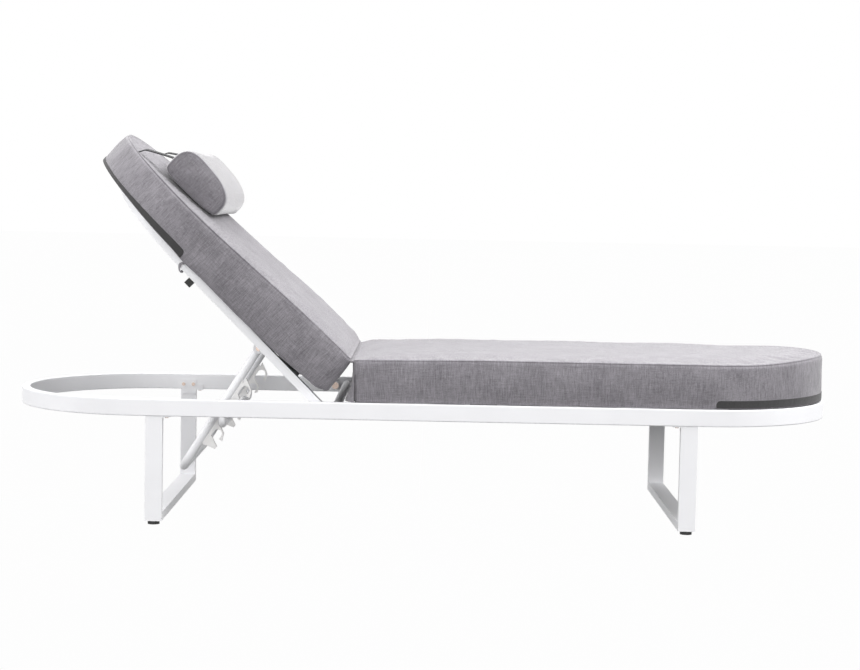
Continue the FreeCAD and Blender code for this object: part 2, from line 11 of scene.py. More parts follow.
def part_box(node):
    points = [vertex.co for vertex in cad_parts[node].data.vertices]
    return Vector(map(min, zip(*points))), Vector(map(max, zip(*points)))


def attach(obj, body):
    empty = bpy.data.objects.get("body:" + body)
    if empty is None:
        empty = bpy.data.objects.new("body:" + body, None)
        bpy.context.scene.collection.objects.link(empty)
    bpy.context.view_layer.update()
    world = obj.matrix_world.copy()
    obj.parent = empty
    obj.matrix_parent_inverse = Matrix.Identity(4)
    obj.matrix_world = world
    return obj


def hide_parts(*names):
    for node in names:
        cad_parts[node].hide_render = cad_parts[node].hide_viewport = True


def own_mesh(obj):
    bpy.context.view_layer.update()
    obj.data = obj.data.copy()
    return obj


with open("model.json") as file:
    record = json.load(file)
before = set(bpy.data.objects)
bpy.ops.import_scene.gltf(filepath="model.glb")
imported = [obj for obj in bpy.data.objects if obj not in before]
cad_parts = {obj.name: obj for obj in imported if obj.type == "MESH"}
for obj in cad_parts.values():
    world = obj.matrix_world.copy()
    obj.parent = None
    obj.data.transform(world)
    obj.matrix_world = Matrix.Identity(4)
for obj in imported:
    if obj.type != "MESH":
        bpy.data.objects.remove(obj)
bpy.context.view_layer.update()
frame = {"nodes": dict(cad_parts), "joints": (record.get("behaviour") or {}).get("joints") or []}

bl_info = {
    "name": "Sun lounger looks",
    "version": (1, 0, 0),
    "blender": (4, 5, 0),
    "location": "View3D > Sidebar > Lounger",
    "description": "Dresses the lounger's solids with coated tube, heather cushions and a studio stage",
    "category": "Object",
}

JOINTS = {joint["name"]: joint for joint in frame["joints"]}
HINGE = np.array(JOINTS["backrest_recline"]["pos_m"], float)
FOLD = np.array(JOINTS["cushion_fold"]["pos_m"], float)
BACK_TILT = math.radians(-JOINTS["backrest_recline"]["range_deg"][0])
PAD_TILT = math.radians(-JOINTS["cushion_fold"]["range_deg"][0])
# The cushions lie half a millimetre above the ring.
PAD_BASE = float(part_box("side_rail_near")[1][2]) + 0.0005

# Painted shade: the pillow's cloth is the cushions' heather made darker by this factor, to darken its end
# panels.
PILLOW_PAINTED_SHADE = 0.88

# Each lamp's name, place, aim, width, height and power in watts.
LAMPS = (
    ("lamp_overhead", (0.0, 0.3, 3.2), (0.0, 0.0, 0.3), 4.2, 2.6, 80.0),
    ("lamp_front", (-0.3, -5.4, 1.3), (0.0, 0.0, 0.35), 5.5, 2.2, 140.0),
    ("lamp_head", (-3.6, -0.6, 1.9), (-0.6, 0.0, 0.5), 2.2, 2.0, 52.0),
    ("lamp_foot", (2.9, -0.5, 3.2), (-0.2, 0.0, 0.5), 2.4, 2.0, 142.0),
)
WORLD_LIGHT = 0.78
# How white the floor is where it is seen; the rest keeps a faint shadow.
FLOOR_WHITE = 0.985

# The camera fitted to the photograph: place, focal length in mm, and yaw, pitch and roll in degrees.
CAMERA_PLACE = (0.021, -4.802, 0.785)
CAMERA_LENS = 80.33
CAMERA_TURN = (-0.07, 4.15, 1.13)


# Settings

class LoungerSizes(bpy.types.PropertyGroup):
    """Sizes of the pieces that the scene adds."""
    pad_half: bpy.props.FloatProperty(
        name="Cushion half width", description="Half the cushion's width", default=0.3225, unit="LENGTH")
    pad_thick: bpy.props.FloatProperty(
        name="Cushion thickness", description="Height of the boxed side", default=0.100, unit="LENGTH")
    seat_length: bpy.props.FloatProperty(
        name="Seat cushion length", description="From the fold to the foot end",
        default=1.1595, unit="LENGTH")
    back_length: bpy.props.FloatProperty(
        name="Back cushion length", description="From the fold to the head end",
        default=0.7795, unit="LENGTH")
    crown: bpy.props.FloatProperty(
        name="Crown", description="Rise of the cushion's middle", default=0.006, unit="LENGTH")
    welt: bpy.props.FloatProperty(
        name="Welt width", description="Flat welt between the two seam lines", default=0.010, unit="LENGTH")
    pillow_half: bpy.props.FloatProperty(
        name="Pillow half length", description="Half the bolster's length", default=0.221, unit="LENGTH")
    tube_edge: bpy.props.FloatProperty(
        name="Tube edge radius", description="Rounding of the tube's corners", default=0.0022, unit="LENGTH")


COLOUR = {"size": 3, "subtype": "COLOR", "min": 0, "max": 1}


class LoungerColours(bpy.types.PropertyGroup):
    """Colours of the finishes, in linear light."""
    coat: bpy.props.FloatVectorProperty(
        name="Frame coat", description="White powder coat", default=(0.86, 0.86, 0.88), **COLOUR)
    nylon: bpy.props.FloatVectorProperty(
        name="Comb nylon", description="Cream moulded nylon", default=(0.86, 0.85, 0.84), **COLOUR)
    heather_dark: bpy.props.FloatVectorProperty(
        name="Dark yarn", description="Darker yarn of the heather cloth",
        default=(0.100, 0.093, 0.105), **COLOUR)
    heather_light: bpy.props.FloatVectorProperty(
        name="Light yarn", description="Paler yarn of the heather cloth",
        default=(0.335, 0.320, 0.345), **COLOUR)
    band: bpy.props.FloatVectorProperty(
        name="Edge band", description="Dark band round the cushion ends",
        default=(0.028, 0.027, 0.028), **COLOUR)
    strap: bpy.props.FloatVectorProperty(
        name="Straps", description="Dark webbing", default=(0.016, 0.016, 0.018), **COLOUR)
    tie: bpy.props.FloatVectorProperty(
        name="Ties", description="Grey tie straps", default=(0.30, 0.29, 0.31), **COLOUR)
    rubber: bpy.props.FloatVectorProperty(
        name="Rubber", description="Pads and bumpers", default=(0.022, 0.022, 0.022), **COLOUR)
    steel: bpy.props.FloatVectorProperty(
        name="Steel", description="Bolts", default=(0.45, 0.36, 0.31), **COLOUR)


# Mesh helpers

def put_mesh(name, points, wrap_across, wrap_along=False, marks=None, merge=0.0):
    """A quad grid from an array of points (rows, columns, 3), closed across or along where asked.

    Vertex k = row * columns + column; each quad joins k, k + 1 and the two below them. Points nearer than the
    merge distance become one, and open ends are filled.
    """
    rows, cols = points.shape[:2]
    index = np.arange(rows * cols).reshape(rows, cols)
    right = np.roll(index, -1, axis=1)
    down = np.roll(index, -1, axis=0)
    corner = np.roll(right, -1, axis=0)
    quads = np.stack([index, right, corner, down], -1)
    quads = quads[: rows if wrap_along else rows - 1, : cols if wrap_across else cols - 1].reshape(-1, 4)
    mesh = bpy.data.meshes.new(name)
    mesh.from_pydata(points.reshape(-1, 3).tolist(), [], quads.tolist())
    for mark, values in (marks or {}).items():
        layer = mesh.attributes.new(mark, "FLOAT", "POINT")
        layer.data.foreach_set("value", np.ascontiguousarray(values, np.float32).reshape(-1))
    work = bmesh.new()
    work.from_mesh(mesh)
    if merge:
        bmesh.ops.remove_doubles(work, verts=work.verts[:], dist=merge)
    open_edges = [e for e in work.edges if e.is_boundary]
    if open_edges:
        bmesh.ops.holes_fill(work, edges=open_edges, sides=0)
    bmesh.ops.recalc_face_normals(work, faces=work.faces[:])
    work.to_mesh(mesh)
    work.free()
    mesh.polygons.foreach_set("use_smooth", np.ones(len(mesh.polygons), bool))
    piece = bpy.data.objects.new(name, mesh)
    bpy.context.scene.collection.objects.link(piece)
    return piece


def vertex_array(piece):
    """The piece's vertex places as an array (n, 3)."""
    flat = np.empty(len(piece.data.vertices) * 3, np.float32)
    piece.data.vertices.foreach_get("co", flat)
    return flat.reshape(-1, 3).astype(float)


def set_vertices(piece, places):
    piece.data.vertices.foreach_set("co", np.ascontiguousarray(places, np.float32).reshape(-1))
    piece.data.update()


def finish_piece(piece, body, material, replaced=()):
    """Gives a piece its finish and the body that it moves with."""
    piece.data.materials.clear()
    piece.data.materials.append(material)
    if replaced:
        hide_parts(*replaced)
    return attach(piece, body)


def even_steps(path, count, closed):
    """The path resampled to equal steps of arc length."""
    line = np.vstack([path, path[:1]]) if closed else path
    run = np.concatenate([[0.0], np.cumsum(np.linalg.norm(np.diff(line, axis=0), axis=1))])
    at = np.linspace(0.0, run[-1], count, endpoint=not closed)
    return np.stack([np.interp(at, run, line[:, k]) for k in range(line.shape[1])], -1)


def round_steps(line):
    """The step at each point of a closed line: from the point before it to the one after."""
    return np.roll(line, -1, axis=0) - np.roll(line, 1, axis=0)


def outward(step):
    """Unit normals of level steps that go round anticlockwise: (dy, -dx) over its length."""
    normal = np.stack([step[:, 1], -step[:, 0]], -1)
    return normal / np.linalg.norm(normal, axis=1, keepdims=True)


def tilted(points, centre, angle):
    """Points turned about the Y axis through a centre: x' = x cos a + z sin a, z' = z cos a - x sin a."""
    d = points - centre
    c, s = math.cos(angle), math.sin(angle)
    return centre + np.stack([d[..., 0] * c + d[..., 2] * s, d[..., 1], d[..., 2] * c - d[..., 0] * s], -1)


def rounded_section(width, height, radius, steps=4):
    """A rectangle with rounded corners: quarter arcs, with a point on the straight past each end.

    The extra points, 0.4 radius past the arcs, keep the smooth shading of the corners off the flat sides.
    """
    a = np.linspace(0.0, math.pi / 2, steps + 1)
    arc = radius * np.stack([np.cos(a), np.sin(a)], -1)
    arc = np.vstack([arc[:1] - (0.0, 0.4 * radius), arc, arc[-1:] - (0.4 * radius, 0.0)])
    corners = []
    for sx, sy in ((1, 1), (-1, 1), (-1, -1), (1, -1)):
        turned = arc if sx * sy > 0 else arc[::-1]
        corners.append((turned + (width / 2 - radius, height / 2 - radius)) * (sx, sy))
    return np.vstack(corners)


def swept(path, normals, section):
    """A section carried along a level path: point = path + side * normal + up * Z."""
    flat = path[:, None, :2] + normals[:, None, :] * section[None, :, :1]
    up = np.broadcast_to(path[:, None, 2:] + section[None, :, 1:], flat.shape[:2] + (1,))
    return np.concatenate([flat, up], -1)


# Material helpers

def node(tree, kind, **values):
    made = tree.nodes.new(kind)
    for key, value in values.items():
        setattr(made, key, value)
    return made


def math_node(tree, operation, *values):
    """A math node: numbers are set on its sockets, and other nodes' outputs are linked to them."""
    made = node(tree, "ShaderNodeMath", operation=operation)
    for socket, value in zip(made.inputs, values):
        if isinstance(value, (int, float)):
            socket.default_value = value
        else:
            tree.links.new(value, socket)
    return made.outputs[0]


def noise(tree, vector, stretch, scale, detail, roughness):
    """Noise on coordinates stretched along each axis."""
    mapping = node(tree, "ShaderNodeMapping")
    mapping.inputs["Scale"].default_value = stretch
    tree.links.new(vector, mapping.inputs["Vector"])
    made = node(tree, "ShaderNodeTexNoise")
    made.inputs["Scale"].default_value = scale
    made.inputs["Detail"].default_value = detail
    made.inputs["Roughness"].default_value = roughness
    tree.links.new(mapping.outputs[0], made.inputs["Vector"])
    return made.outputs[0]


def scaled_group(name, label):
    """A node group that scales its vector by one number, with a tone and a height to give out."""
    group = bpy.data.node_groups.new(name, "ShaderNodeTree")
    group.interface.new_socket("Vector", in_out="INPUT", socket_type="NodeSocketVector")
    group.interface.new_socket(label, in_out="INPUT", socket_type="NodeSocketFloat").default_value = 1.0
    for result in ("Tone", "Height"):
        group.interface.new_socket(result, in_out="OUTPUT", socket_type="NodeSocketFloat")
    given = node(group, "NodeGroupInput")
    place = node(group, "ShaderNodeVectorMath", operation="SCALE")
    group.links.new(given.outputs["Vector"], place.inputs[0])
    group.links.new(given.outputs[label], place.inputs["Scale"])
    return group, place.outputs[0], node(group, "NodeGroupOutput")


def heather_group():
    """Mixed yarn: slub streaks along and across, a fine cross weave, slow shade drift and crumples."""
    name = "Heather yarn"
    if name in bpy.data.node_groups:
        return bpy.data.node_groups[name]
    group, spot, out = scaled_group(name, "Yarn")
    across = noise(group, spot, (13.0, 1.0, 1.0), 44.0, 4.0, 0.62)
    along = noise(group, spot, (1.0, 13.0, 13.0), 40.0, 4.0, 0.62)
    fleck = noise(group, spot, (1.0, 1.0, 1.0), 520.0, 2.0, 0.6)
    drift = noise(group, spot, (1.0, 1.0, 1.0), 20.0, 2.0, 0.5)
    streaks = math_node(group, "ADD", math_node(group, "MULTIPLY", across, 0.62),
                        math_node(group, "MULTIPLY", along, 0.38))
    spread = math_node(group, "MULTIPLY_ADD", streaks, 2.1, -0.55)
    flecked = math_node(group, "ADD", spread, math_node(group, "MULTIPLY_ADD", fleck, 0.8, -0.40))
    slow = math_node(group, "MULTIPLY_ADD", drift, 0.42, -0.21)
    tone = node(group, "ShaderNodeClamp")
    group.links.new(math_node(group, "ADD", flecked, slow), tone.inputs[0])
    group.links.new(tone.outputs[0], out.inputs["Tone"])
    waves = []
    for axis in ("X", "Y", "Z"):
        wave = node(group, "ShaderNodeTexWave", wave_type="BANDS", bands_direction=axis, wave_profile="SIN")
        wave.inputs["Scale"].default_value = 210.0
        wave.inputs["Distortion"].default_value = 0.6
        wave.inputs["Detail"].default_value = 1.0
        group.links.new(spot, wave.inputs["Vector"])
        waves.append(wave.outputs["Fac"])
    weave = math_node(group, "ADD", math_node(group, "ADD", waves[0], waves[1]), waves[2])
    height = math_node(group, "ADD", math_node(group, "MULTIPLY", weave, 0.33),
                       math_node(group, "MULTIPLY", streaks, 0.8))
    crumple = noise(group, spot, (1.0, 0.15, 0.5), 55.0, 3.0, 0.55)
    height = math_node(group, "ADD", height, math_node(group, "MULTIPLY", crumple, 8.0))
    group.links.new(height, out.inputs["Height"])
    return group


def coat_group():
    """Sprayed and moulded skins: a fine orange peel and a slow change of shade."""
    name = "Coat skin"
    if name in bpy.data.node_groups:
        return bpy.data.node_groups[name]
    group, spot, out = scaled_group(name, "Grain")
    peel = noise(group, spot, (1.0, 1.0, 1.0), 900.0, 3.0, 0.5)
    drift = noise(group, spot, (1.0, 1.0, 1.0), 9.0, 2.0, 0.5)
    group.links.new(drift, out.inputs["Tone"])
    group.links.new(peel, out.inputs["Height"])
    return group


def start_material(name, roughness, rotation=(0.0, 0.0, 0.0)):
    """A material with object coordinates, turned to follow the piece."""
    made = bpy.data.materials.new(name)
    made.use_nodes = True
    tree = made.node_tree
    shader = tree.nodes["Principled BSDF"]
    shader.inputs["Roughness"].default_value = roughness
    mapping = node(tree, "ShaderNodeMapping")
    mapping.inputs["Rotation"].default_value = rotation
    tree.links.new(node(tree, "ShaderNodeTexCoord").outputs["Object"], mapping.inputs["Vector"])
    return made, tree, shader, mapping.outputs[0]


def shade_between(tree, factor, dark, light):
    """A colour between two shades."""
    mix = node(tree, "ShaderNodeMix", data_type="RGBA")
    mix.inputs[6].default_value = (*dark, 1.0)
    mix.inputs[7].default_value = (*light, 1.0)
    tree.links.new(factor, mix.inputs[0])
    return mix.outputs[2]


def bump(tree, shader, height, strength, distance):
    made = node(tree, "ShaderNodeBump")
    made.inputs["Strength"].default_value = strength
    made.inputs["Distance"].default_value = distance
    tree.links.new(height, made.inputs["Height"])
    tree.links.new(made.outputs[0], shader.inputs["Normal"])


def grouped(tree, group, vector, value):
    """A group in use, on the given coordinates; its second input, yarn or grain, gets the value."""
    made = node(tree, "ShaderNodeGroup", node_tree=group)
    tree.links.new(vector, made.inputs["Vector"])
    made.inputs[1].default_value = value
    return made


def heather_cloth(name, dark, light, rotation=(0.0, 0.0, 0.0), yarn=1.0, sheen=0.35):
    """Heather cloth: mixed yarn colours, a weave bump, and painted shade: a darker line in the seam grooves
    where the seam mark is.
    """
    made, tree, shader, spot = start_material(name, 0.92, rotation)
    yarns = grouped(tree, heather_group(), spot, yarn)
    cloth = shade_between(tree, yarns.outputs["Tone"], dark, light)
    # Painted shade: the seam mark darkens the cloth towards 0.45 of the dark yarn, as shade in the seam
    # grooves.
    mark = node(tree, "ShaderNodeAttribute", attribute_name="seam")
    line = node(tree, "ShaderNodeMix", data_type="RGBA")
    line.inputs[7].default_value = (*(0.45 * c for c in dark), 1.0)
    tree.links.new(math_node(tree, "MULTIPLY", mark.outputs["Fac"], 0.8), line.inputs[0])
    tree.links.new(cloth, line.inputs[6])
    tree.links.new(line.outputs[2], shader.inputs["Base Color"])
    shader.inputs["Sheen Weight"].default_value = sheen
    shader.inputs["Sheen Roughness"].default_value = 0.45
    shader.inputs["Specular IOR Level"].default_value = 0.25
    bump(tree, shader, yarns.outputs["Height"], 0.35, 0.0008)
    return made


def webbing(name, colour, pitch):
    """Woven strap: fine ribs across and along, in one colour that drifts a little."""
    made, tree, shader, spot = start_material(name, 0.85)
    yarns = grouped(tree, heather_group(), spot, pitch)
    dark = tuple(0.72 * c for c in colour)
    light = tuple(min(1.0, 1.35 * c) for c in colour)
    tree.links.new(shade_between(tree, yarns.outputs["Tone"], dark, light), shader.inputs["Base Color"])
    shader.inputs["Sheen Weight"].default_value = 0.15
    bump(tree, shader, yarns.outputs["Height"], 0.4, 0.0006)
    return made


def coated(name, colour, roughness, grain, metallic=0.0):
    """A sprayed, moulded or turned skin with a fine peel and a slow drift of shade and gloss."""
    made, tree, shader, spot = start_material(name, roughness)
    skin = grouped(tree, coat_group(), spot, grain)
    dark = tuple(0.95 * c for c in colour)
    light = tuple(min(1.0, 1.04 * c) for c in colour)
    tree.links.new(shade_between(tree, skin.outputs["Tone"], dark, light), shader.inputs["Base Color"])
    gloss = math_node(tree, "MULTIPLY_ADD", skin.outputs["Tone"], 0.12, roughness - 0.06)
    tree.links.new(gloss, shader.inputs["Roughness"])
    shader.inputs["Metallic"].default_value = metallic
    bump(tree, shader, skin.outputs["Height"], 0.12, 0.0003)
    return made


def finish(name):
    """The named finish, made on first use."""
    if name in bpy.data.materials:
        return bpy.data.materials[name]
    c = bpy.context.scene.lounger_colours
    dark, light = tuple(c.heather_dark), tuple(c.heather_light)
    # Painted shade: the pillow's yarns are the cushions' yarns darkened by the pillow factor.
    shaded_pillow_dark, shaded_pillow_light = (tuple(PILLOW_PAINTED_SHADE * v for v in yarn) for yarn in (dark, light))
    along_back = (0.0, -PAD_TILT, 0.0)
    makers = {
        "White coat": lambda: coated(name, tuple(c.coat), roughness=0.42, grain=1.0),
        "Cream nylon": lambda: coated(name, tuple(c.nylon), roughness=0.5, grain=0.7),
        "Black rubber": lambda: coated(name, tuple(c.rubber), roughness=0.75, grain=0.8),
        "Bolt steel": lambda: coated(name, tuple(c.steel), roughness=0.34, grain=1.2, metallic=1.0),
        "Seat heather": lambda: heather_cloth(name, dark, light),
        "Back heather": lambda: heather_cloth(name, dark, light, along_back),
        "Pillow heather": lambda: heather_cloth(name, shaded_pillow_dark, shaded_pillow_light, along_back,
                                                yarn=1.1, sheen=0.95),
        "Band cloth": lambda: webbing(name, tuple(c.band), pitch=1.4),
        "Black webbing": lambda: webbing(name, tuple(c.strap), pitch=1.6),
        "Grey webbing": lambda: webbing(name, tuple(c.tie), pitch=1.8),
    }
    return makers[name]()


# Shapes

def pad_outline(length, half, corner, count):
    """The cushion's plan with its outward normals: a straight fold edge, straight sides and a half-round end.

    x runs from 0 at the fold to the length at the round end, y across. The steps start in the middle of the
    fold edge, so that both sides have the same ones.
    """
    q = np.linspace(0.0, math.pi / 2, 13)
    turn = np.linspace(-math.pi / 2, math.pi / 2, 181)
    near = np.stack([corner - corner * np.sin(q), -half + corner - corner * np.cos(q)], -1)[::-1]
    end = np.stack([length - half + half * np.cos(turn), half * np.sin(turn)], -1)
    far = np.stack([corner - corner * np.sin(q), half - corner + corner * np.cos(q)], -1)
    line = even_steps(np.vstack([np.zeros((1, 2)), near, end, far]), count, True)
    return line, outward(round_steps(line))


def pad_surface(length, half, thick, crown, welt, count):
    """A boxed cushion, flat, as rows from the middle of the underside over the side to the middle of the top.

    Side rows sit at (inset, height) off the plan. The side bows out by 1.5 mm * sin(pi z / thick). A groove
    at the top edge and one a welt's width inside it are the seam lines. Panel rows blend from the last side
    row to the spine as t goes from 1 to 0, and the top rises by crown * (1 - t^2.4). The seam mark, painted
    shade for the two grooves, and the rows that the simulation holds come with the points.
    """
    corner, bow = 0.022, 0.0015
    line, normal = pad_outline(length, half, corner, count)
    spine = np.stack([np.clip(line[:, 0], half, length - half), np.zeros(count)], -1)
    z = np.linspace(0.010, thick - 0.007, 13)
    foot = [(0.007, 0.0), (0.0026, 0.0007), (0.0008, 0.003)]
    bowed = list(zip(-bow * np.sin(math.pi * z / thick), z))
    edge = [(0.0012, thick - 0.0042), (0.0032, thick - 0.0022), (0.0022, thick - 0.0004),
            (0.0042, thick + 0.0010), (0.0068, thick + 0.0013), (welt, thick + 0.0008),
            (welt + 0.0018, thick - 0.0010), (welt + 0.0042, thick + 0.0008), (welt + 0.010, thick + 0.0016)]
    side = np.array(foot + bowed + edge)
    # Painted shade in the two seam grooves: full in the top-edge groove, 0.75 in the welt groove.
    edge_seam_shade = [0.0, 1.0, 0.0, 0.0, 0.0, 0.0, 0.75, 0.0, 0.0]
    t_low = np.linspace(0.0, 1.0, 26)[:-1]
    t_top = np.linspace(1.0, 0.0, 34)[1:]
    first = line - normal * side[0, 0]
    last = line - normal * side[-1, 0]
    low = spine + (first - spine) * t_low[:, None, None]
    wall = line[None] - normal[None] * side[:, None, :1]
    top = spine + (last - spine) * t_top[:, None, None]
    rise = side[-1, 1] + crown * (1.0 - t_top ** 2.4)
    plan = np.vstack([low, wall, top])
    shape = plan.shape[:2]
    height = np.concatenate([np.zeros(len(t_low)), side[:, 1], rise])
    grid = np.concatenate([plan, np.broadcast_to(height[:, None, None], shape + (1,))], -1)
    seam = np.concatenate([np.zeros(len(t_low) + len(foot) + len(bowed)), edge_seam_shade, np.zeros(len(t_top))])
    hold = np.concatenate([np.ones(len(t_low) + len(foot)), np.zeros(len(bowed)), np.ones(len(edge)),
                           np.zeros(len(t_top))])
    return grid, np.broadcast_to(seam[:, None], shape), np.broadcast_to(hold[:, None], shape)


def swell(piece, cap, pressure, frames=14):
    """Cloth under pressure, held along its seams and underside; each point's move is cut to the cap."""
    held = np.empty(len(piece.data.vertices), np.float32)
    piece.data.attributes["hold"].data.foreach_get("value", held)
    pins = piece.vertex_groups.new(name="seams")
    pins.add(np.flatnonzero(held > 0.5).tolist(), 1.0, "REPLACE")
    before = vertex_array(piece)
    cloth = piece.modifiers.new("Swell", "CLOTH")
    s = cloth.settings
    s.quality = 3
    s.mass = 0.25
    s.tension_stiffness = s.compression_stiffness = 25.0
    s.shear_stiffness = 12.0
    s.bending_stiffness = 0.6
    s.use_pressure = True
    s.uniform_pressure_force = pressure
    s.vertex_group_mass = pins.name
    s.effector_weights.gravity = 0.0
    cloth.point_cache.frame_start = 1
    cloth.point_cache.frame_end = frames
    scene = bpy.context.scene
    for number in range(1, frames + 1):
        scene.frame_set(number)
    shaped = piece.evaluated_get(bpy.context.evaluated_depsgraph_get())
    after = np.empty(len(before) * 3, np.float32)
    shaped.data.vertices.foreach_get("co", after)
    piece.modifiers.remove(cloth)
    piece.vertex_groups.remove(pins)
    scene.frame_set(1)
    move = after.reshape(-1, 3) - before
    size = np.linalg.norm(move, axis=1, keepdims=True)
    set_vertices(piece, before + move * np.minimum(1.0, cap / np.maximum(size, 1e-9)))


def pucker(piece, length, half, thick, seed):
    """Soft rumples: waves along the seam that fade inward, a slow uneven surface on top, ripples on the side.

    dz = 1.6 (a sin(s / 6.8 mm + p1) + b sin(s / 11.5 mm + p2)) * exp(-d / 35 mm), with s the place round the
    plan, d the distance in from the edge, and p1 and p2 wandering slowly along s.
    """
    rng = np.random.default_rng(seed)
    p = vertex_array(piece)
    angle = np.arctan2(p[:, 1], np.maximum(p[:, 0] - (length - half), 1e-6))
    round_end = p[:, 0] > length - half
    reach = np.where(round_end, half - np.hypot(p[:, 0] - (length - half), p[:, 1]), half - np.abs(p[:, 1]))
    reach = np.maximum(np.minimum(reach, p[:, 0]), 0.0)
    s = np.where(round_end, (length - half) + half * np.abs(angle), p[:, 0])
    top = np.clip((p[:, 2] - thick) / 0.002, 0.0, 1.0) * np.clip((reach - 0.015) / 0.02, 0.0, 1.0)
    fade = np.exp(-reach / 0.035)
    wave = 0.0019 * np.sin(s / 0.0068 + rng.uniform(0, 6.28) + 2.0 * np.sin(s / 0.11))
    wave += 0.0015 * np.sin(s / 0.0115 + rng.uniform(0, 6.28) + 1.5 * np.sin(s / 0.17))
    slow = np.zeros(len(p))
    for _ in range(7):
        kx, ky = rng.uniform(-22, 22), rng.uniform(-22, 22)
        slow += 0.0006 * np.sin(kx * p[:, 0] + ky * p[:, 1] + rng.uniform(0, 6.28))
    p[:, 2] += top * (wave * fade * 1.6 + slow)
    side = np.clip((thick - 0.012 - p[:, 2]) / 0.02, 0, 1) * np.clip((p[:, 2] - 0.022) / 0.02, 0, 1)
    side *= reach < 0.02
    out = np.stack([np.where(round_end, np.cos(angle), 0.0),
                    np.where(round_end, np.sin(angle), np.sign(p[:, 1]))], -1)
    ripple = 0.0007 * np.sin(s / 0.019 + 1.3) + 0.0006 * np.sin(s / 0.043 + p[:, 2] / 0.03)
    p[:, :2] += out * (side * ripple)[:, None]
    set_vertices(piece, p)


def ease(t):
    """A smooth step from 0 to 1: 3 t^2 - 2 t^3."""
    t = np.clip(t, 0.0, 1.0)
    return t * t * (3.0 - 2.0 * t)


def fuller(p, share, end_share, end_from, lean):
    """Stands the cushion taller away from the fold and near its end, and leans the fold face at its foot.

    z' = z (1 + share ease(x / 350 mm) + end_share ease((x - end_from) / 230 mm)) - corner(y) (z / thick)
    ease(1 - x / 30 mm); near the fold x' = x + lean (1 - z / thick) ease(1 - x / 60 mm).
    """
    x, y, z = p[..., 0], p[..., 1], p[..., 2]
    up = np.clip(z / bpy.context.scene.lounger_sizes.pad_thick, 0.0, 1.0)
    taller = 1.0 + share * ease(x / 0.35) + end_share * ease((x - end_from) / 0.23)
    soft = fold_corner(y) * up * ease(1.0 - x / 0.03)
    return np.stack([x + lean * (1.0 - up) * ease(1.0 - x / 0.06), y, z * taller - soft], -1)


def fold_corner(y):
    """How far the cushion's top drops at the corners of the fold: d ease((|y| - 220 mm) / 100 mm).

    d is 6 mm on the far side and 1.5 mm on the near one.
    """
    return np.where(y > 0.0, 0.006, 0.0015) * ease((np.abs(y) - 0.22) / 0.10)


def settled(p):
    """Lets the back cushion settle on the backrest rails, which lie below its straight underside.

    dz = w top(x) + (1 - w) low(x, y) with w = z / thick. top = -10.5 mm ease((x - 80 mm) / 450 mm).
    low = -(6.5 mm + 7.7 mm ease(x / 160 mm)) (1 - ease((x - 330 mm) / 420 mm)), no deeper than the rails,
    5 mm less at the fold over 18 mm, and 3 mm more outside the rails where the tie pulls, times
    exp(-((x - 440 mm) / 30 mm)^2).
    """
    x, y, z = p[..., 0], p[..., 1], p[..., 2]
    w = np.clip(z / bpy.context.scene.lounger_sizes.pad_thick, 0.0, 1.0)
    top = 0.0105 * ease((x - 0.08) / 0.45)
    gap = 0.0215 * (1.0 - x / 0.79)
    low = (0.0065 + 0.0077 * ease(x / 0.16)) * (1.0 - ease((x - 0.33) / 0.42))
    low = np.minimum(low, np.maximum(gap, 0.0))
    low = low - 0.005 * ease(1.0 - x / 0.018)
    low = low + 0.003 * np.exp(-((x - 0.44) / 0.03) ** 2) * ease((np.abs(y) - 0.300) / 0.012)
    return np.stack([x, y, z - w * top - (1.0 - w) * low], -1)


def press_flat(piece):
    """Gives a piece of the back cushion its own copy of its mesh.
    """
    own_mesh(piece)


def make_pad(name, length, seed, faint, strong):
    """A whole cushion in its flat place, swollen and rumpled.

    Painted shade darkens its seam grooves, from faint at 80 mm to strong at 480 mm, and fades again at the
    end. The fold has none.
    """
    sizes = bpy.context.scene.lounger_sizes
    half, thick = sizes.pad_half, sizes.pad_thick
    spacing = 0.0075
    count = int(2 * (length + half) / spacing)
    grid, seam, hold = pad_surface(length, half, thick, sizes.crown, sizes.welt, count)
    x = grid[..., 0]
    # Painted seam shade: none at the fold, faint to strong along the cushion, weaker near the round end.
    seam = seam * ease((x - 0.012) / 0.02) * (faint + (strong - faint) * ease((x - 0.08) / 0.40))
    seam = seam * (1.0 - 0.6 * ease((x - length + 0.09) / 0.05))
    piece = put_mesh(name, grid, True, marks={"seam": seam, "hold": hold}, merge=0.00005)
    swell(piece, cap=0.005, pressure=4.0)
    pucker(piece, length, half, thick, seed)
    p = vertex_array(piece)
    p[:, 0] = np.maximum(p[:, 0], 0.0005)
    set_vertices(piece, p)
    return piece


def seat_place(p):
    """From the flat cushion to the seat: x from the fold towards the foot."""
    p = fuller(p, share=0.04, end_share=0.115, end_from=0.93, lean=0.0034)
    return np.stack([FOLD[0] + p[..., 0], p[..., 1], PAD_BASE + p[..., 2]], -1)


def back_place(p):
    """From the flat cushion to the backrest: x from the fold towards the head, tilted up about the fold."""
    p = settled(fuller(p, share=0.0, end_share=0.0, end_from=1.0, lean=-0.0022))
    flat = np.stack([FOLD[0] - p[..., 0], p[..., 1], PAD_BASE + p[..., 2]], -1)
    return tilted(flat, FOLD, PAD_TILT)


def put_in_place(piece, place):
    """Moves a flat piece to its place, turns its faces outwards and gives it one live subdivision."""
    set_vertices(piece, place(vertex_array(piece)))
    work = bmesh.new()
    work.from_mesh(piece.data)
    bmesh.ops.recalc_face_normals(work, faces=work.faces[:])
    work.to_mesh(piece.data)
    work.free()
    smooth = piece.modifiers.new("Smooth", "SUBSURF")
    smooth.levels = smooth.render_levels = 1


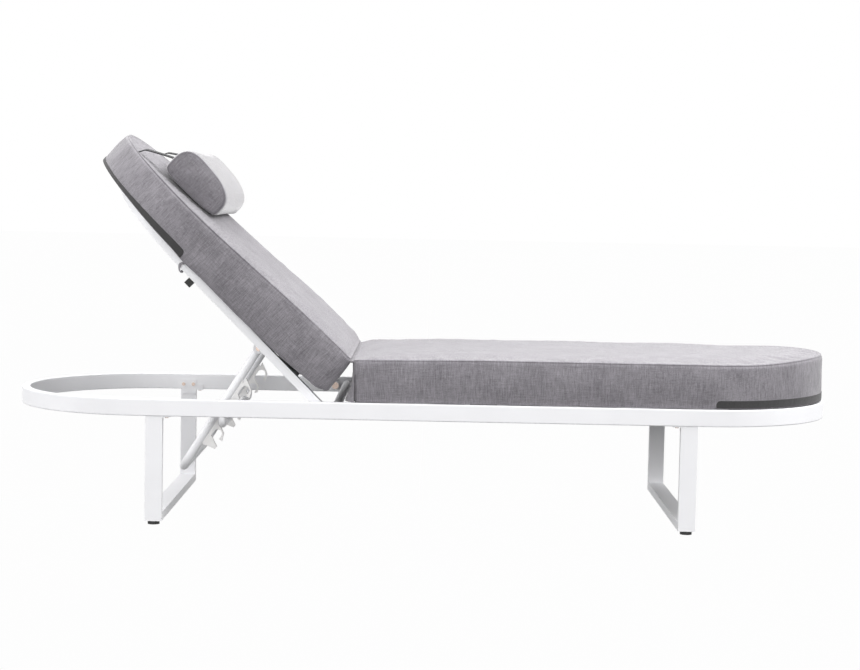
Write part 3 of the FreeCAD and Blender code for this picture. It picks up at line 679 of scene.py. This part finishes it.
def band_surface(length, half, start, low, high, thick, slim):
    """A flat band round a cushion's round end: a rounded strip section carried along the plan past the start.

    The strip's height goes from the full one at its ends to slim times it over 300 mm, and its upper corners
    are rounded over the last 8 mm.
    """
    straight = length - half
    corner = 0.008
    reach = math.acos(max(0.0, (start - length + half) / half))
    turn = np.linspace(-reach, reach, 121)
    run = np.linspace(start, straight, 41)[:-1] if start < straight else np.zeros(0)
    near = np.stack([run, np.full(run.shape, -half)], -1)
    end = np.stack([length - half + half * np.cos(turn), half * np.sin(turn)], -1)
    line = even_steps(np.vstack([near, end, near[::-1] * (1, -1)]), 361, False)
    normal = outward(np.gradient(line, axis=0))
    travel = np.arange(len(line)) * np.linalg.norm(np.diff(line, axis=0), axis=1).mean()
    near_end = np.minimum(travel, travel[::-1])
    drop = corner - np.sqrt(np.clip(corner ** 2 - np.clip(corner - near_end, 0, corner) ** 2, 0, None))
    section = rounded_section(thick, 1.0, thick * 0.45, 3)
    height = (high - low) * (1.0 - (1.0 - slim) * ease(near_end / 0.30)) - drop
    z = low + height[:, None] * np.clip(section[None, :, 1] + 0.5, 0, 1)
    flat = line[:, None] + normal[:, None] * (section[None, :, :1] + thick / 2)
    return np.concatenate([flat, z[..., None]], -1)


def slack_surface(half, height, depth, power, toe, taper, back):
    """A cushion's slack at the fold, flat: a wedge across it, x in from the fold, z up from the underside.

    At the height h its face stands out by depth (1 - h / height)^power, less the toe's share of that at the
    foot, which fades over 8 mm. Its ends are rounded off over the taper, from the plane x = back inside the
    cushion.
    """
    h = np.linspace(0.0, height, 25)
    out = depth * (1.0 - h / height) ** power * (1.0 - toe * np.clip(1.0 - h / 0.008, 0.0, 1.0) ** 2)
    inner = np.stack([np.full(8, back), np.linspace(height, 0.0, 8)], -1)
    section = np.vstack([np.stack([-out, h], -1), inner])
    y = np.sin(np.linspace(-1.0, 1.0, 61) * math.pi / 2) * half
    ends = np.clip((half - np.abs(y)) / taper, 0.0, 1.0)
    grow = 0.02 + 0.98 * np.sqrt(ends * (2.0 - ends))
    x = back + (section[None, :, 0] - back) * grow[:, None]
    z = np.broadcast_to(section[None, :, 1], x.shape)
    return np.stack([x, np.broadcast_to(y[:, None], x.shape), z], -1)


def pillow_section(t):
    """The bolster's section from 0 to 1 round it: flat below, upright shoulders, an arched top.

    x = a sgn(c)|c|^n and z = h (0.36 + k sgn(s)|s|^m), with c, s the cosine and sine; n = 0.58 towards the
    head and 0.74 towards the foot, k = 0.36 and m = 0.38 below the middle, k = 0.64 and m = 0.70 or 0.80
    above it.
    """
    a = 2 * math.pi * t
    c, s = np.cos(a), np.sin(a)
    wide = np.where(c > 0, 0.58, 0.74)
    tall = np.where(s < 0, 0.38, np.where(c > 0, 0.70, 0.80))
    return np.sign(c) * np.abs(c) ** wide, 0.36 + np.where(s < 0, 0.36, 0.64) * np.sign(s) * np.abs(s) ** tall


def pillow_surface(size, height, half, along, base):
    """The bolster flat on the back cushion, as rows from the middle of one end panel to that of the other.

    The section stands taller towards the head, by 1 + 0.10 x / a, and shrinks over the last 22 mm of each
    end. A mark of painted shade darkens the end seams, and the end panels blend to their middle as they bulge
    by 7 mm.
    """
    t = np.linspace(0.0, 1.0, 121)[:-1]
    sx, sz = pillow_section(t)
    run = half * np.array([-1.0, -0.994, -0.985, -0.975, -0.95, -0.9, -0.82, -0.72,
                           -0.6, -0.48, -0.36, -0.24, -0.12])
    run = np.concatenate([run, [0.0], -run[::-1]])
    edge = np.clip((half - np.abs(run)) / 0.022, 0.0, 1.0)
    grow = 0.94 + 0.06 * np.sqrt(edge * (2 - edge))
    x = along + size / 2 * sx[None] * grow[:, None]
    z = base + height * (0.36 + (sz[None] - 0.36) * grow[:, None]) * (1.0 + 0.10 * sx[None])
    body = np.stack([x, np.broadcast_to(run[:, None], x.shape), z], -1)
    k = np.linspace(0.0, 1.0, 15)[:-1]
    centre = np.array([along, 0.0, base + 0.42 * height])
    panel = []
    for row, way in ((body[0], -1.0), (body[-1], 1.0)):
        cap = centre + (row - centre) * k[:, None, None]
        cap[..., 1] = way * (half + 0.007 * (1 - k[:, None] ** 2))
        panel.append(cap)
    grid = np.vstack([panel[0], body, panel[1][::-1]])
    seam = np.zeros(len(grid))
    # Painted shade at half strength in the two end seams.
    seam[len(k)] = seam[-len(k) - 1] = 0.5
    hold = (seam > 0).astype(float)
    low = grid[..., 2] < base + 0.004
    return grid, np.broadcast_to(seam[:, None], low.shape), np.maximum(hold[:, None], low)


def ribbon(path, sideways, width, thick, closed=False):
    """A flat strap: a rounded strip section along a path, wide along one direction and thick across it."""
    step = round_steps(path) if closed else np.gradient(path, axis=0)
    step /= np.linalg.norm(step, axis=1, keepdims=True)
    wide = np.broadcast_to(np.asarray(sideways, float), path.shape)
    off = np.cross(step, wide)
    section = rounded_section(width, thick, thick * 0.45, 3)
    return path[:, None] + wide[:, None] * section[None, :, :1] + off[:, None] * section[None, :, 1:]


# Operators

class LOUNGER_OT_stage(bpy.types.Operator):
    """Sets the floor, the lamps, the white surround and the camera."""
    bl_idname = "lounger.stage"
    bl_label = "Stage"

    def execute(self, context):
        scene = context.scene
        scene.view_settings.view_transform = "Standard"
        reach, level = 30.0, -0.0006
        steps = np.linspace(-reach, reach, 5)
        gx, gy = np.meshgrid(steps, steps)
        floor = put_mesh("stage_floor", np.stack([gx, gy, np.full(gx.shape, level)], -1), False)
        paint = bpy.data.materials.new("Pale floor")
        paint.use_nodes = True
        tree = paint.node_tree
        shader = tree.nodes["Principled BSDF"]
        shader.inputs["Base Color"].default_value = (0.92, 0.92, 0.92, 1.0)
        shader.inputs["Roughness"].default_value = 0.9
        glow = node(tree, "ShaderNodeEmission")
        glow.inputs["Color"].default_value = (1.0, 1.0, 1.0, 1.0)
        seen = self.seen_direct(tree)
        mix = node(tree, "ShaderNodeMixShader")
        tree.links.new(math_node(tree, "MULTIPLY", seen, FLOOR_WHITE), mix.inputs[0])
        tree.links.new(shader.outputs[0], mix.inputs[1])
        tree.links.new(glow.outputs[0], mix.inputs[2])
        tree.links.new(mix.outputs[0], tree.nodes["Material Output"].inputs[0])
        floor.data.materials.append(paint)
        self.surround(scene)
        for lamp in LAMPS:
            self.lamp(*lamp)
        self.camera(scene)
        return {"FINISHED"}

    def seen_direct(self, tree):
        path = node(tree, "ShaderNodeLightPath")
        both = math_node(tree, "MAXIMUM", path.outputs["Is Camera Ray"], path.outputs["Is Glossy Ray"])
        return math_node(tree, "MAXIMUM", both, path.outputs["Is Transmission Ray"])

    def surround(self, scene):
        world = bpy.data.worlds.new("White surround")
        world.use_nodes = True
        tree = world.node_tree
        light = tree.nodes["Background"]
        light.inputs["Color"].default_value = (1.0, 1.0, 1.0, 1.0)
        light.inputs["Strength"].default_value = WORLD_LIGHT
        white = node(tree, "ShaderNodeBackground")
        white.inputs["Color"].default_value = (1.0, 1.0, 1.0, 1.0)
        white.inputs["Strength"].default_value = 1.0
        mix = node(tree, "ShaderNodeMixShader")
        tree.links.new(self.seen_direct(tree), mix.inputs[0])
        tree.links.new(light.outputs[0], mix.inputs[1])
        tree.links.new(white.outputs[0], mix.inputs[2])
        tree.links.new(mix.outputs[0], tree.nodes["World Output"].inputs[0])
        scene.world = world

    def lamp(self, name, place, aim, wide, tall, watts):
        data = bpy.data.lights.new(name, "AREA")
        data.shape = "RECTANGLE"
        data.size, data.size_y, data.energy = wide, tall, watts
        lamp = bpy.data.objects.new(name, data)
        lamp.location = place
        lamp.rotation_euler = (Vector(aim) - Vector(place)).to_track_quat("-Z", "Y").to_euler()
        bpy.context.scene.collection.objects.link(lamp)

    def camera(self, scene):
        data = bpy.data.cameras.new("photo_camera")
        data.sensor_fit = "HORIZONTAL"
        data.sensor_width = 36.0
        data.lens = CAMERA_LENS
        yaw, pitch, roll = (math.radians(a) for a in CAMERA_TURN)
        ahead = Vector((math.sin(yaw) * math.cos(pitch), math.cos(yaw) * math.cos(pitch), -math.sin(pitch)))
        right = Vector((math.cos(yaw), -math.sin(yaw), 0.0))
        up = right.cross(ahead)
        x = math.cos(roll) * right + math.sin(roll) * up
        y = -math.sin(roll) * right + math.cos(roll) * up
        camera = bpy.data.objects.new("photo_camera", data)
        camera.matrix_world = Matrix((x, y, -ahead)).transposed().to_4x4()
        camera.location = CAMERA_PLACE
        scene.collection.objects.link(camera)
        scene.camera = camera


class LOUNGER_OT_frame_finishes(bpy.types.Operator):
    """Gives every solid of the frame its coat, nylon, rubber or steel."""
    bl_idname = "lounger.frame_finishes"
    bl_label = "Frame finishes"

    def execute(self, context):
        starts = {"hook_comb": "Cream nylon", "hinge_washer": "Cream nylon", "bumper": "Black rubber",
                  "hinge_bolt": "Bolt steel", "bail_bolt": "Bolt steel"}
        for name, solid in frame["nodes"].items():
            kind = next((f for s, f in starts.items() if name.startswith(s)), "White coat")
            kind = "Black rubber" if "foot_pad" in name else kind
            kind = "Bolt steel" if "_bolts_" in name else kind
            solid.data.materials.clear()
            solid.data.materials.append(finish(kind))
        return {"FINISHED"}


class LOUNGER_OT_ring(bpy.types.Operator):
    """Sweeps the oval ring as one tube with rounded corners, along two half circles joined by straights."""
    bl_idname = "lounger.ring"
    bl_label = "Oval ring"

    def execute(self, context):
        lo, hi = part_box("side_rail_near")
        width = abs(lo.y)
        depth = hi.y - lo.y
        height = hi.z - lo.z
        straight = hi.x
        r = width - depth / 2
        a = np.linspace(-math.pi / 2, math.pi / 2, 91)
        foot = np.stack([straight + r * np.cos(a), r * np.sin(a)], -1)
        line = even_steps(np.vstack([foot, -foot]), 420, True)
        path = np.concatenate([line, np.full((len(line), 1), (lo.z + hi.z) / 2)], -1)
        section = rounded_section(depth, height, context.scene.lounger_sizes.tube_edge)
        piece = put_mesh("oval_ring", swept(path, outward(round_steps(line)), section), True, True)
        finish_piece(piece, "base", finish("White coat"),
                     ("side_rail_near", "side_rail_far", "head_bow", "foot_bow"))
        return {"FINISHED"}


class LOUNGER_OT_seat_cushion(bpy.types.Operator):
    """Makes the seat cushion with its foot band, the strip and slack at the fold, and the strap under it."""
    bl_idname = "lounger.seat_cushion"
    bl_label = "Seat cushion"

    def execute(self, context):
        sizes = context.scene.lounger_sizes
        # faint and strong: how strong the painted shade in the seat cushion's seam grooves is.
        piece = make_pad("seat_pad", sizes.seat_length, seed=3, faint=0.30, strong=0.45)
        put_in_place(piece, seat_place)
        finish_piece(piece, "base", finish("Seat heather"), ("seat_cushion",))
        band_reach = 0.303
        grid = band_surface(sizes.seat_length, sizes.pad_half, start=sizes.seat_length - band_reach,
                            low=0.0030, high=0.0198, thick=0.0018, slim=1.0)
        band = put_mesh("foot_edge_band", seat_place(grid), True)
        finish_piece(band, "base", finish("Band cloth"), ("foot_band",))
        self.fold(sizes)
        lo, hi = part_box("seat_strap")
        level = PAD_BASE + 0.0004
        y = np.linspace(lo.y, hi.y, 60)
        path = np.stack([np.full(60, (lo.x + hi.x) / 2), y, np.full(60, level)], -1)
        web = ribbon(path, (1.0, 0.0, 0.0), width=hi.x - lo.x, thick=0.0016)
        strap = put_mesh("seat_strap_web", web, True)
        finish_piece(strap, "base", finish("Black webbing"), ("seat_strap",))
        return {"FINISHED"}

    def fold(self, sizes):
        """The sewn strip along the fold, and the slack below it."""
        short, sunk = 0.003, 0.0030
        y = np.linspace(-1.0, 1.0, 61) * (sizes.pad_half - short)
        path = np.stack([np.full(61, FOLD[0]), y, FOLD[2] - sunk - fold_corner(y)], -1)
        strip = put_mesh("fold_strip", ribbon(path, (1.0, 0.0, 0.0), width=0.009, thick=0.0045), True)
        finish_piece(strip, "base", finish("Seat heather"))
        inside = 0.006
        flat = slack_surface(sizes.pad_half - 0.0012, height=0.066, depth=0.018, power=1.7, toe=0.07,
                             taper=0.045, back=inside)
        slack = put_mesh("fold_slack", flat + (FOLD[0], 0.0, PAD_BASE + 0.0006), True)
        finish_piece(slack, "base", finish("Seat heather"))
        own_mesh(slack)


class LOUNGER_OT_back_cushion(bpy.types.Operator):
    """Makes the back cushion with its head band, its slack at the fold and the strap under it."""
    bl_idname = "lounger.back_cushion"
    bl_label = "Back cushion"

    def execute(self, context):
        sizes = context.scene.lounger_sizes
        # faint and strong: how strong the painted shade in the back cushion's seam grooves is.
        piece = make_pad("back_pad_cover", sizes.back_length, seed=8, faint=0.15, strong=0.85)
        put_in_place(piece, back_place)
        finish_piece(piece, "back_pad", finish("Back heather"), ("back_cushion",))
        band_reach = 0.325
        grid = band_surface(sizes.back_length, sizes.pad_half, start=sizes.back_length - band_reach,
                            low=0.0026, high=0.0202, thick=0.0018, slim=0.5)
        band = put_mesh("head_edge_band", back_place(grid), True)
        finish_piece(band, "back_pad", finish("Band cloth"), ("head_band",))
        press_flat(piece)
        press_flat(band)
        from_fold, reach, level = 0.094, 0.312, -0.0006
        y = np.linspace(-reach, reach, 60)
        path = np.stack([np.full(60, from_fold), y, np.full(60, level)], -1)
        web = ribbon(path, (1.0, 0.0, 0.0), width=0.064, thick=0.0014)
        strap = put_mesh("back_strap_web", back_place(web), True)
        finish_piece(strap, "back_pad", finish("Black webbing"))
        press_flat(strap)
        self.slack(sizes)
        return {"FINISHED"}

    def slack(self, sizes):
        """The fold face's slack."""
        inside = 0.022
        flat = slack_surface(sizes.pad_half - 0.0004, height=0.094, depth=0.011, power=0.55, toe=0.5,
                             taper=0.020, back=inside)
        flat = np.stack([FOLD[0] - flat[..., 0], flat[..., 1], PAD_BASE + 0.001 + flat[..., 2]], -1)
        piece = put_mesh("back_slack", tilted(flat, FOLD, PAD_TILT), True)
        finish_piece(piece, "back_pad", finish("Back heather"))
        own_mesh(piece)


class LOUNGER_OT_pillow(bpy.types.Operator):
    """Makes the bolster pillow and its two elastic straps."""
    bl_idname = "lounger.pillow"
    bl_label = "Head pillow"

    def execute(self, context):
        sizes = context.scene.lounger_sizes
        long, tall = 0.170, 0.084
        lift, from_end = 0.0110, 0.226
        top = sizes.pad_thick + lift
        along = sizes.back_length - from_end
        grid, seam, hold = pillow_surface(long, tall, sizes.pillow_half, along, top)
        piece = put_mesh("pillow_cover", grid, True, marks={"seam": seam, "hold": hold}, merge=0.00005)
        swell(piece, cap=0.004, pressure=3.0)
        put_in_place(piece, back_place)
        finish_piece(piece, "back_pad", finish("Pillow heather"), ("head_pillow",))
        press_flat(piece)
        behind, short = 0.078, 0.070
        self.straps(along + behind, sizes.back_length - short, top)
        return {"FINISHED"}

    def straps(self, first, last, top):
        """Two elastic straps from the pillow to the cushion's head end, with t from 0 to 1 along them.

        The height above the cushion falls as 1 - t, with a bow of 6 mm t (1 - t), and the end dips by 9.5 mm.
        The straps are turned 15 degrees about their length.
        """
        off_middle = 0.190
        flat_way = (0.0, 0.966, 0.259)
        for name, side in (("near", -1), ("far", 1)):
            t = np.linspace(0.0, 1.0, 40)
            x = first + (last - first) * t
            start = 0.0455 + 0.0045 * side
            h = top + start * (1 - t) + 0.006 * t * (1 - t) - 0.0095 * ease((t - 0.88) / 0.12)
            path = np.stack([x, np.full(40, side * off_middle), h], -1)
            elastic = ribbon(path, flat_way, width=0.015, thick=0.0026)
            strap = put_mesh("pillow_elastic_" + name, back_place(elastic), True)
            replaced = ("pillow_straps",) if side < 0 else ()
            finish_piece(strap, "back_pad", finish("Black webbing"), replaced)
            press_flat(strap)


class LOUNGER_OT_ties(bpy.types.Operator):
    """Makes the grey tie loops round the backrest rails.

    Each is a rounded square, y = b sgn(c)|c|^0.3 and z = h sgn(s)|s|^0.3, that sags by 13 mm on the outside.
    """
    bl_idname = "lounger.ties"
    bl_label = "Ties"

    def execute(self, context):
        for name, side in (("near", -1), ("far", 1)):
            solid = frame["nodes"]["tie_strap_" + name]
            flat = tilted(vertex_array(solid), HINGE, -BACK_TILT)
            lo, hi = flat.min(0), flat.max(0)
            inset, power, depth = 0.0008, 0.30, 0.013
            mid, half = (lo + hi) / 2, (hi - lo) / 2 - inset
            a = np.linspace(0.0, 2 * math.pi, 73)[:-1]
            c, s = np.cos(a), np.sin(a)
            y = mid[1] + half[1] * np.sign(c) * np.abs(c) ** power
            h = mid[2] + half[2] * np.sign(s) * np.abs(s) ** power
            sag = depth * np.sin(math.pi * (h - lo[2]) / (hi[2] - lo[2])) * (side * (y - mid[1]) > 0)
            path = even_steps(np.stack([mid[0] - sag, y, h], -1), 120, True)
            loop = ribbon(path, (1.0, 0.0, 0.0), width=0.007, thick=0.0013, closed=True)
            piece = put_mesh("tie_loop_" + name, tilted(loop, HINGE, BACK_TILT), True, True)
            finish_piece(piece, "backrest", finish("Grey webbing"), ("tie_strap_" + name,))
        return {"FINISHED"}


OPERATORS = (LOUNGER_OT_stage, LOUNGER_OT_frame_finishes, LOUNGER_OT_ring, LOUNGER_OT_seat_cushion,
             LOUNGER_OT_back_cushion, LOUNGER_OT_pillow, LOUNGER_OT_ties)


class LOUNGER_PT_panel(bpy.types.Panel):
    """Lists the lounger's pieces."""
    bl_idname = "LOUNGER_PT_panel"
    bl_label = "Lounger"
    bl_space_type = "VIEW_3D"
    bl_region_type = "UI"
    bl_category = "Lounger"

    def draw(self, context):
        for operator in OPERATORS:
            self.layout.operator(operator.bl_idname)


CLASSES = (LoungerSizes, LoungerColours) + OPERATORS + (LOUNGER_PT_panel,)


def register():
    for each in CLASSES:
        bpy.utils.register_class(each)
    bpy.types.Scene.lounger_sizes = bpy.props.PointerProperty(type=LoungerSizes)
    bpy.types.Scene.lounger_colours = bpy.props.PointerProperty(type=LoungerColours)


def unregister():
    del bpy.types.Scene.lounger_colours
    del bpy.types.Scene.lounger_sizes
    for each in reversed(CLASSES):
        bpy.utils.unregister_class(each)


def main():
    register()
    bpy.ops.lounger.stage()
    bpy.ops.lounger.frame_finishes()
    bpy.ops.lounger.ring()
    bpy.ops.lounger.seat_cushion()
    bpy.ops.lounger.back_cushion()
    bpy.ops.lounger.pillow()
    bpy.ops.lounger.ties()
    bpy.context.view_layer.update()


if __name__ == "__main__":
    main()
